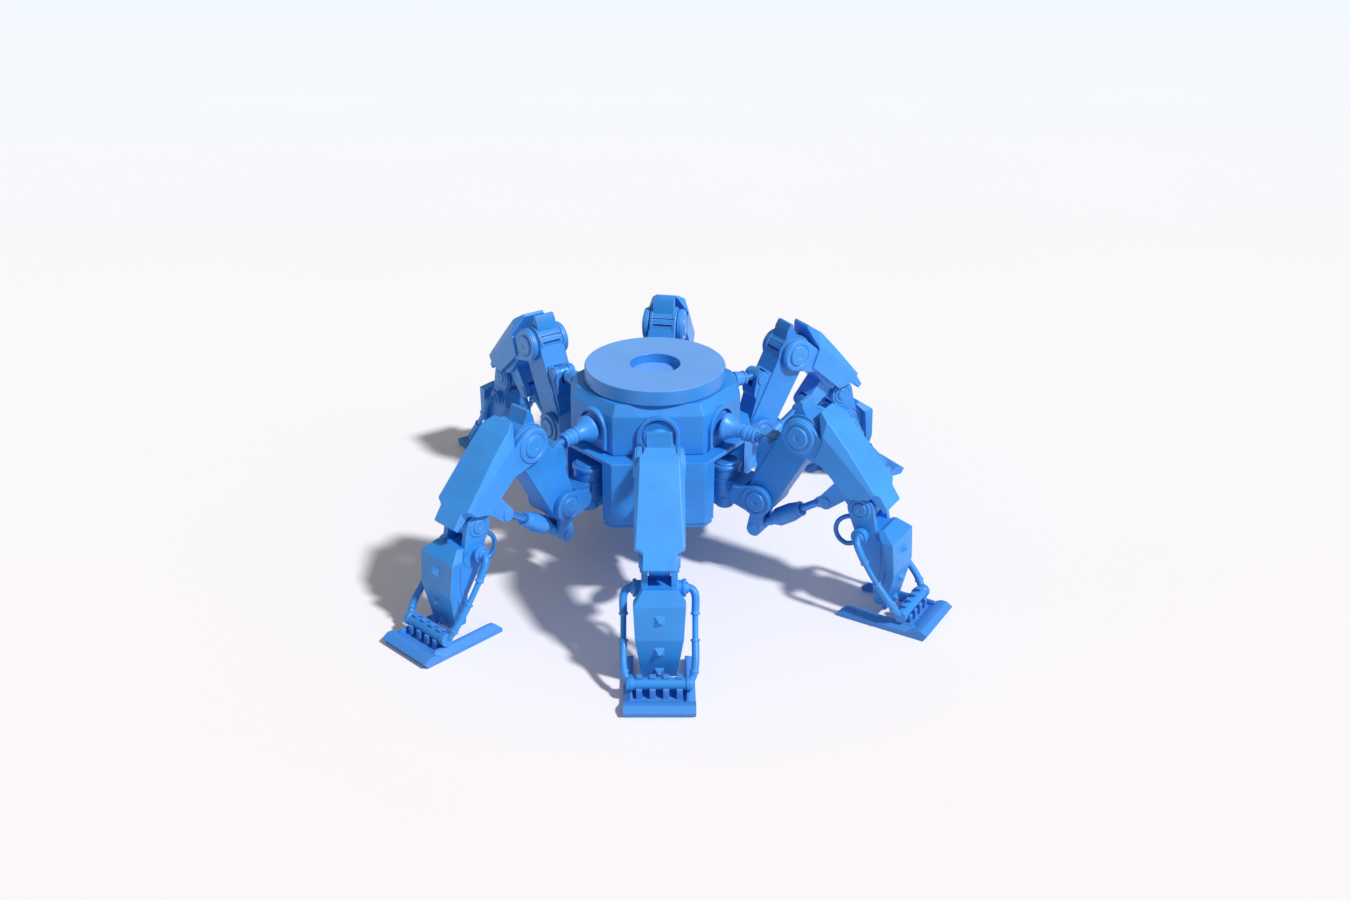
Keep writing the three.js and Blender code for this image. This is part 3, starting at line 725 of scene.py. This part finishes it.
def stepped_disc(at, radius, low, high):
    """A turned cover at the end of a pivot: a chamfered ring, a groove and an inner disc."""
    step = low + (high - low) * 0.55
    return turned(
        [
            (0, low - 1),
            (radius, low - 1),
            (radius, step - 0.5),
            (radius - 0.8, step),
            (radius * 0.76, step),
            (radius * 0.72, step - 0.7),
            (radius * 0.68, step - 0.7),
            (radius * 0.66, step),
            (radius * 0.64, high - 0.6),
            (radius * 0.58, high),
            (radius * 0.2, high),
            (radius * 0.17, high - 0.5),
            (0, high - 0.5),
        ],
        "Y",
        at,
        56,
        0.15,
    )


def hip_drum():
    """A round gear-motor can with a plain lid, and the forked arm at its side."""
    r, low, high = DRUM_RADIUS, DRUM_BOTTOM, DRUM_TOP
    can = [(0, low), (r - 1.2, low), (r, low + 1.2), (r, 93.2), (r - 0.7, 93.8), (r - 0.7, 94.8)]
    collar = [(13.6, 95.2), (13.6, 103), (14.2, 103.4), (15, 104.2), (15, 106.4), (14.2, 107.2)]
    crown = [(12.4, high - 2.1), (12.1, high - 0.7), (11.4, high), (0, high)]
    body = turned([*can, *collar, *crown], segments=64, bevel=0.12)
    hole = upright(0, KINGPIN_RADIUS + 0.5, low - 1, KINGPIN_TOP + 0.5, 32)
    side = [(5, 94), (24, 94), (24, low), (18, low), (14.5, 80), (11.5, 81.5), (5, 81.5)]
    neck = prism(side, -11.5, 11.5, "Y", 0.8)
    arm = block((17, 26), (-CHEEK_OUT, CHEEK_OUT), (HIP[1] - 9, HIP[1] + 9), 1.2)
    cheeks = mirrored(lambda: prism(link((23, HIP[1]), 9, HIP, HIP_END), CHEEK_IN, CHEEK_OUT, "Y", 0.8))
    discs = mirrored(lambda: stepped_disc(HIP, 14.4, CHEEK_OUT, DISC))
    pin_hole = drum(HIP, PIN_HOLE, -DISC + 2, DISC - 2, 0)
    return joined([body, neck, arm, *cheeks, *discs], [hole, pin_hole])


def knee_shell():
    """A raised shell round the knee between two rims, and the horn that stands over it."""
    shell = drum(KNEE, 17.7, -12.2, 12.2, 0.5, 72)
    rims = mirrored(lambda: drum(KNEE, 18.4, 10.2, 12.8, 0.4, 72))
    horn = [(71, 172), (73.5, 183), (77, 189), (80, 188.6), (80.5, 184), (85, 176), (86, 170)]
    return [shell, *rims, prism(horn, -10.6, 10.6, "Y", 0.5)]


def eye_pin(at):
    return drum(at, EYE_PIN, -SLOT - 1, SLOT + 1, 0, 24)


def eye_lug(at, end):
    """The forked lug round a rod's eye, before its slot is cut."""
    return prism(link(*at, end, LUG_END), -LUG_PLATE, LUG_PLATE, "Y", 0.8)


def thigh():
    """The box link from the hip to the knee, with the strut's lug on its back and the ram's tail below."""
    main = prism(link(HIP, HIP_END, KNEE, KNEE_END), -LINK, LINK, "Y", 1.3)
    web = prism(link(HIP, 13.5, (56, 130), 14), -LINK + 2, LINK - 2, "Y", 1)
    lug = eye_lug(((48, 125), 12), STRUT_EYE)
    tail = eye_lug((HIP, 6), RAM_BASE)
    bosses = mirrored(lambda: drum(STRUT_EYE, 5.4, LUG_PLATE - 1, LUG_PLATE + 1.3, 0.3))
    tail_bosses = mirrored(lambda: drum(RAM_BASE, 5, LUG_PLATE - 1, LUG_PLATE + 1, 0.3))
    eye_slot = prism(link(STRUT_EYE, EYE_SPACE, (15.5, 141.5), EYE_SPACE), -SLOT, SLOT, "Y", 0)
    ram_slot = prism(link(RAM_BASE, EYE_SPACE, (60, 66), EYE_SPACE), -SLOT, SLOT, "Y", 0)
    knee_hole = drum(KNEE, PIN_HOLE, -LINK - 1, LINK + 1, 0)
    vent = block((KNEE[0] - 20, KNEE[0] - 13), (-9.6, 9.6), (KNEE[1] + 4, KNEE[1] + 6.2), 0)
    seam = block((KNEE[0] - 20, KNEE[0] - 11), (-12.2, 12.2), (KNEE[1] + 10.6, KNEE[1] + 11.6), 0)
    shells = [main, web, lug, tail, *bosses, *tail_bosses, *knee_shell()]
    body = joined(shells, [eye_slot, ram_slot, knee_hole, vent, seam])
    pins = [eye_pin(STRUT_EYE), eye_pin(RAM_BASE), drum(HIP, PIN, -CHEEK_OUT, CHEEK_OUT, 0)]
    return joined([body, *pins])


def along(start, end):
    """Turns +X to the direction from start to end in the leg's plane, and moves it to start."""
    lean = -math.atan2(end[1] - start[1], end[0] - start[0])
    return Matrix.Translation((start[0], 0, start[1])) @ Matrix.Rotation(lean, 4, "Y")


def strut_barrel():
    """A hollow barrel with a flared mouth over the hull's ball, and collars along it."""
    flare = [(6.9 + 5.4 * (1 - i / 8) ** 1.6, 1.5 + 12.5 * i / 8) for i in range(9)]
    mouth = [(0, -1), (12.5, -1), (12.5, 0.9), *flare, (6.9, 16)]
    collar = [(5.7, 16.4), (5.7, 18), (7.6, 18.5), (7.6, 22), (6.9, 22.4), (6.9, 27)]
    lip = [(6, 27.4), (6, 28.4), (7.2, 28.8), (7.2, 30.6), (6.8, 31), (0, 31)]
    outside = turned([*mouth, *collar, *lip], "X", bevel=0.12)
    inside = turned([(0, -2), (11, -2), (6.6, 2), (4.3, 6.8), (4.3, 32), (0, 32)], "X", bevel=0)
    return moved(joined([outside], [inside]), along(STRUT_BALL, STRUT_EYE))


def rod(start_point, end_point, start, radius, nut):
    """A rod that comes out of its barrel at start, with an eye at its end and, on the ram, a lock nut."""
    length = math.dist(start_point, end_point)
    end = length - 2
    shaft = turned([(0, start), (radius, start), (radius, end), (0, end)], "X", segments=36, bevel=0.2)
    shells = [shaft, drum((length, 0), LUG_END, -LUG, LUG, 0.5, 48)]
    if nut:
        nut_start, nut_end = length - 14, length - 8
        profile = [(0, nut_start), (5.2, nut_start), (5.2, nut_end), (0, nut_end)]
        shells.append(turned(profile, "X", segments=6, bevel=0.4))
    bore = drum((length, 0), EYE_BORE, -LUG - 1, LUG + 1, 0)
    return moved(joined(shells, [bore]), along(start_point, end_point))


def ram_barrel():
    """A spindle-shaped barrel with a ring groove, on a thin neck with an eye."""
    neck = [(0, 4), (4.2, 4), (4.2, 13), (4.9, 14), (4.9, 15.6), (4.5, 16.2)]
    belly = [(8, 24), (8.6, 25.4), (8.6, 28), (8.1, 28.6), (8.1, 29.6), (8.6, 30.2), (8.6, 40), (7.2, 48)]
    mouth = [(6.4, 48.6), (6.4, 49.6), (6.9, 50.1), (6.9, 51.6), (6.5, 52), (0, 52)]
    body = turned([*neck, *belly, *mouth], "X", bevel=0.15)
    eye = drum((0, 0), LUG_END, -LUG, LUG, 0.5, 48)
    eye_hole = drum((0, 0), 2.8, -LUG - 1, LUG + 1, 0)
    bore = turned([(0, 10), (4.1, 10), (4.1, 53), (0, 53)], "X", segments=36, bevel=0)
    return moved(joined([body, eye], [eye_hole, bore]), along(RAM_BASE, RAM_EYE))


SHANK = math.dist(KNEE, ANKLE)
SHANK_S = ((ANKLE[0] - KNEE[0]) / SHANK, (ANKLE[1] - KNEE[1]) / SHANK)


def shank():
    """The knee's fork, the bevelled armour and the ankle's tang. X points to the ankle and Z outwards."""
    ankle = (SHANK, 0)
    away = (RAM_EYE[0] - KNEE[0], RAM_EYE[1] - KNEE[1])
    eye = (away[0] * SHANK_S[0] + away[1] * SHANK_S[1], -away[0] * SHANK_S[1] + away[1] * SHANK_S[0])
    side = prism(
        [
            (-4.5, 30.5), (-4.5, 27.5), (7, 22), (17, 18), (24, 0), (70, 1), (81, 17), (98, 15), (98, 20.5),
            (79, 25), (34, 30.5), (10, 32.5),
        ],
        -22,
        22,
        "Y",
        0,
    )
    bevelled = prism([(-21, -1), (21, -1), (21, 22), (16, 33.5), (-16, 33.5), (-21, 22)], -6, 105, "X", 0)
    right = [(-5.5, -10.3), (13, -21), (79, -21), (84, -13.6), (99, -13.6)]
    left = [(x, -y) for x, y in reversed(right)]
    outline = prism([*right, *left], -1, 34, "Z", 0)
    armour = facets(combined(side, "INTERSECT", [bevelled, outline]), 0.7, 12)
    hollow = block((16, 77.5), (-18, 18), (-2, 21.5), 0)
    shell = joined([armour], [hollow])
    cheeks = mirrored(lambda: prism(link((0, 0), KNEE_END, (32, 9), 9), CHEEK_IN, CHEEK_OUT, "Y", 0.8))
    discs = mirrored(lambda: stepped_disc((0, 0), 15.4, CHEEK_OUT, DISC))
    pin = drum((0, 0), PIN, -CHEEK_OUT, CHEEK_OUT, 0)
    web_side = [(24, 8), (34, -2), (58, -5), (68, -3), (68, 14), (76, 23), (24, 23)]
    web = prism(web_side, -15.4, 15.4, "Y", 0.8)
    tang = prism(link((62, 0), 11, ankle, ANKLE_END), -9, 9, "Y", 0.6)
    tongue = prism([(62, 14), (92, 14.5), (93, 18), (62, 20)], -13, 13, "Y", 0.4)
    lug = eye_lug(((eye[0] + 1, -3), 9.5), eye)
    lug_bosses = mirrored(lambda: drum(eye, 5, LUG_PLATE - 1, LUG_PLATE + 1.2, 0.3))
    slot = prism(link(eye, EYE_SPACE, (eye[0] - 14, eye[1] - 30), EYE_SPACE), -SLOT, SLOT, "Y", 0)
    hole = drum(ankle, PIN_HOLE, -10, 10, 0)
    inner = joined([pin, *cheeks, *discs, web, tang, tongue, lug, *lug_bosses], [slot, hole])
    return moved(joined([shell, inner, eye_pin(eye)]), along(KNEE, ANKLE))


def pyramid(at, lean, base, height):
    """A small four-sided stud standing on the shield."""
    bm = bmesh.new()
    h = base / 2
    corners = [bm.verts.new(p) for p in ((-1, -h, -h), (-1, h, -h), (-1, h, h), (-1, -h, h))]
    peak = bm.verts.new((height, 0, 0))
    bm.faces.new(corners)
    for i in range(4):
        bm.faces.new((corners[i], corners[(i + 1) % 4], peak))
    bmesh.ops.recalc_face_normals(bm, faces=bm.faces)
    return moved(bm, Matrix.Translation((at[0], 0, at[1])) @ Matrix.Rotation(lean, 4, "Y"))


def shield():
    """The shin's faceted plate with three studs down its middle."""
    top, brow, crease, bottom = (165, 89), (177.5, 80), (180, 50), (172.5, 10)
    band_side = [(160, 87), (168, 78), (172, 50), (168.5, 10), bottom, crease, brow, top]
    band = prism(band_side, -30, 30, "Y", 0)
    left = [(-12.6, 90), (-21.5, 80), (-20, 50), (-14.6, 9)]
    right = [(-y, z) for y, z in reversed(left)]
    window = prism([*left, *right], 100, 200, "X", 0)
    plate = facets(combined(band, "INTERSECT", [window]), 0.8, 10)
    studs = []
    for z in (68, 38, 16):
        lower, upper = (crease, brow) if z > crease[1] else (bottom, crease)
        run, rise = upper[0] - lower[0], upper[1] - lower[1]
        x = lower[0] + run * (z - lower[1]) / rise
        studs.append(pyramid((x, z), math.atan2(run, rise), 9.5, 4.8))
    return [plate, *studs]


def cage(sign):
    """The roll cage's tube on one side: an elbow, a collar, a thin rod, a thicker sleeve and an end bend."""
    y = sign * CAGE_HALF
    points = [
        (HUB[0], sign * 14, HUB[1]),
        (HUB[0], sign * (CAGE_HALF - 5), HUB[1]),
        (HUB[0] + 3.5, y, HUB[1] - 5),
        (HUB[0] + 12, y, HUB[1] - 20),
        (HUB[0] + 22, y, HUB[1] - 34),
        (TOE[0] - 10, y, TOE[1] + 13),
        (TOE[0] - 3, sign * (CAGE_HALF - 2.5), TOE[1] + 3.5),
        (TOE[0], sign * (CAGE_HALF - 8), TOE[1]),
    ]
    path = smooth_path(points)
    elbow_end, rod_end, low_collar = 60, 43, 24
    radii = []
    for point in path:
        if point.z > elbow_end:
            radii.append(3.3)
        elif point.z > rod_end:
            radii.append(2.5)
        else:
            radii.append(3.2)
    shells = [tube(path, radii)]
    for z in (elbow_end, rod_end, low_collar):
        i = min(range(len(path)), key=lambda k: abs(path[k].z - z))
        ahead = (path[i + 1] - path[i - 1]).normalized()
        ring = turned([(0, -1.1), (3.9, -1.1), (3.9, 1.1), (0, 1.1)], "Z", segments=28, bevel=0.25)
        turn = ahead.to_track_quat("Z", "Y").to_matrix().to_4x4()
        shells.append(moved(ring, Matrix.Translation(path[i]) @ turn))
    return shells


def shin():
    """The forked block under the ankle, grooved on its sides, with its shield, roll cage and crossbar."""
    forks = mirrored(lambda: prism(link(ANKLE, ANKLE_END, (150, 77), 10), 9.6, 15, "Y", 0.7))
    discs = mirrored(lambda: stepped_disc(ANKLE, 10, 15, 17.2))
    hub_discs = mirrored(lambda: stepped_disc(HUB, 7.6, 20, 24))
    pin = drum(ANKLE, PIN, -15, 15, 0)
    side = [(138, 87), (164, 87), (174, 79), (176, 51), (168, 13), (160, 13), (156, 41), (138, 67)]
    core = prism(side, -14, 14, "Y", 1.6)
    axle = drum(HUB, 6.5, -22, 22, 0.5)
    front_line = [(160.5, 84), (162, 84), (169.2, 78), (171, 51), (165.2, 14), (163.8, 14), (169.5, 51)]
    front_line.append((167.8, 77.4))
    back_line = [(155, 84), (156.4, 84), (164, 76.4), (165.6, 51), (161.6, 24), (160.4, 24), (164.2, 51)]
    back_line.append((162.6, 75.8))
    front_grooves = mirrored(lambda: prism(front_line, 13.3, 15, "Y", 0))
    back_grooves = mirrored(lambda: prism(back_line, 13.3, 15, "Y", 0))
    body = joined([core, *forks, axle, pin], [*front_grooves, *back_grooves])
    half_bar = [(0, -27), (5.6, -27), (6.1, -26), (6.1, -22.5), (5, -21)]
    other_half = [(radius, -y) for radius, y in reversed(half_bar)]
    crossbar = turned([*half_bar, *other_half], "Y", TOE, 40, 0.2)
    return joined([body, *discs, *hub_discs, *shield(), *cage(1), *cage(-1), crossbar])


HOSE_RADIUS = 2.2


def hose():
    """A short loop of hose from the ankle block round to the shin's hub."""
    route = ((134, 86), (124, 84.5), (116, 78), (113.5, 69), (117, 61), (125, 57.5), (134, 62), (141, 70))
    path = smooth_path([(x, 0, z) for x, z in route])
    return tube(path, [HOSE_RADIUS] * len(path), 16)


TOE_END = 218.5
HEEL_END = 133
RAIL_END = 204.5
LUG_PITCH = 11


def foot():
    """The toe bar, the pan behind it, a long rail on each side and four hooked lugs round the crossbar."""
    half, heel = FOOT_HALF, HEEL_END
    bar_side = [(199.5, 0), (215, 0), (TOE_END, 5.5), (212.5, 9), (207.5, 9), (199.5, 5)]
    bar = prism(bar_side, -half, half, "Y", 0.5)
    pan = block((183, RAIL_END), (-half + 1, half - 1), (0, 5), 0.4)
    rail = [(half, 0), (half, 4.6), (half - 5, 8.6), (half - 8, 8.6), (half - 8, 0)]
    rails = mirrored(lambda: prism(rail, heel, RAIL_END, "X", 0.6))
    walls = mirrored(lambda: block((heel + 9, 203), (half - 7.4, half - 5.2), (6, 9.6), 0.4))
    hook = [(184, 2), (198, 2), (198, 14), (192, 16), (193, 23.2), (188, 23.2), (184, 19)]
    lugs = []
    for place in (-1.5, -0.5, 0.5, 1.5):
        y = place * LUG_PITCH
        lugs.append(prism(hook, y - 2.5, y + 2.5, "Y", 0.5))
    bore = drum(TOE, 5.5, -half, half, 0)
    slope = [(heel - 1, 2.5), (heel - 1, 11), (heel + 9, 11)]
    heel_cuts = mirrored(lambda: prism(slope, half - 9, half + 1, "Y", 0))
    return joined([bar, pan, *rails, *walls, *lugs], [bore, *heel_cuts])


ROD_START = 17
RAM_ROD_START = 26

# each leg's pieces, with what draws them and their material slots
PARTS = {
    "hip_drum": (hip_drum, "frame_metal"),
    "thigh": (thigh, "hull_paint"),
    "strut_barrel": (strut_barrel, "armour_paint"),
    "strut_rod": (lambda: rod(STRUT_BALL, STRUT_EYE, ROD_START, 3.8, False), "rod_metal"),
    "knee_ram_barrel": (ram_barrel, "armour_paint"),
    "knee_ram_rod": (lambda: rod(RAM_BASE, RAM_EYE, RAM_ROD_START, 3.6, True), "rod_metal"),
    "shank": (shank, "armour_paint"),
    "shin": (shin, "hull_paint"),
    "foot": (foot, "sole"),
}


def build_robot():
    """Stands a shape for each hull and leg piece, and gives the battery and board their finishes."""
    for name, make, slot in (
        ("hull_lid", lid, "lid_paint"),
        ("hull_upper_casing", upper_casing, "hull_paint"),
        ("hull_lower_casing", lower_casing, "hull_paint"),
        ("hull_base_plate", base_plate, "frame_metal"),
    ):
        show(to_mesh(make(), f"{name}_form"), f"{name}_form", "hull", MATERIALS[slot], name)
    for name, slot in (("battery_pack", "cell_wrap"), ("controller_board", "board_mask")):
        node = frame["nodes"][name]
        node.data.materials.clear()
        node.data.materials.append(MATERIALS[slot])
    for part, (make, slot) in PARTS.items():
        data = to_mesh(make(), f"{part}_form")
        for leg in LEGS:
            name = f"{leg}_{part}"
            show(data, f"{name}_form", name, MATERIALS[slot], name, leg_matrix(leg))
    data = to_mesh(hose(), "hose_form")
    finish = MATERIALS["frame_metal"]
    for leg in LEGS:
        show(data, f"{leg}_hose", f"{leg}_shin", finish, None, leg_matrix(leg))


# ---- stage ----

FLOOR_HALF = 15
FLOOR_DROP = 0.0003  # keeps the floor clear of the soles' lowest faces
FLOOR_NEAR = (0.92, 0.884, 0.892)
FLOOR_FAR = (0.85, 0.905, 0.955)
FLOOR_CLOUD = (0.8, 0.8, 0.8)
FADE_FROM, FADE_TO = -0.4, 2.6
WORLD_COLOUR = (1.0, 0.97, 0.93, 1)
WORLD_STRENGTH = 0.3
SUN_COLOUR = (0.985, 0.99, 1.0)
SUN_STRENGTH = 3.3
SUN_SPREAD = math.radians(5)
SUN_FROM = (0.67, -0.58, 1.0)


def make_stage():
    """A pale floor that runs into the distance, a soft even light from all round, and a broad sun."""
    bm = bmesh.new()
    signs = ((-1, -1), (1, -1), (1, 1), (-1, 1))
    corners = [bm.verts.new((x * FLOOR_HALF, y * FLOOR_HALF, 0)) for x, y in signs]
    bm.faces.new(corners)
    data = bpy.data.meshes.new("floor")
    bm.to_mesh(data)
    bm.free()
    floor = bpy.data.objects.new("floor", data)
    floor.location.z = -FLOOR_DROP
    bpy.context.scene.collection.objects.link(floor)
    nodes = Nodes("floor")
    depth = nodes.add("ShaderNodeSeparateXYZ")
    nodes.link(nodes.place, depth.inputs["Vector"])
    tint = nodes.mix(nodes.ramp(depth.outputs["Y"], 0, 1, FADE_FROM, FADE_TO), FLOOR_NEAR, FLOOR_FAR)
    tone = nodes.mix(nodes.ramp(nodes.noise(3, 2), 0.0, 0.05), tint, FLOOR_CLOUD)
    nodes.link(tone, nodes.shader.inputs["Base Color"])
    nodes.shader.inputs["Roughness"].default_value = 0.9
    nodes.shader.inputs["Specular IOR Level"].default_value = 0.1
    data.materials.append(nodes.material)

    world = bpy.data.worlds.new("studio")
    world.use_nodes = True
    background = world.node_tree.nodes["Background"]
    background.inputs["Color"].default_value = WORLD_COLOUR
    background.inputs["Strength"].default_value = WORLD_STRENGTH
    bpy.context.scene.world = world
    lamp = bpy.data.lights.new("sun", "SUN")
    lamp.energy = SUN_STRENGTH
    lamp.angle = SUN_SPREAD
    lamp.color = SUN_COLOUR
    sun = bpy.data.objects.new("sun", lamp)
    sun.rotation_euler = Vector(SUN_FROM).to_track_quat("Z", "Y").to_euler()
    bpy.context.scene.collection.objects.link(sun)
    bpy.context.scene.view_settings.view_transform = "Standard"
    bpy.context.scene.view_settings.look = "None"


make_camera()
build_robot()
make_stage()
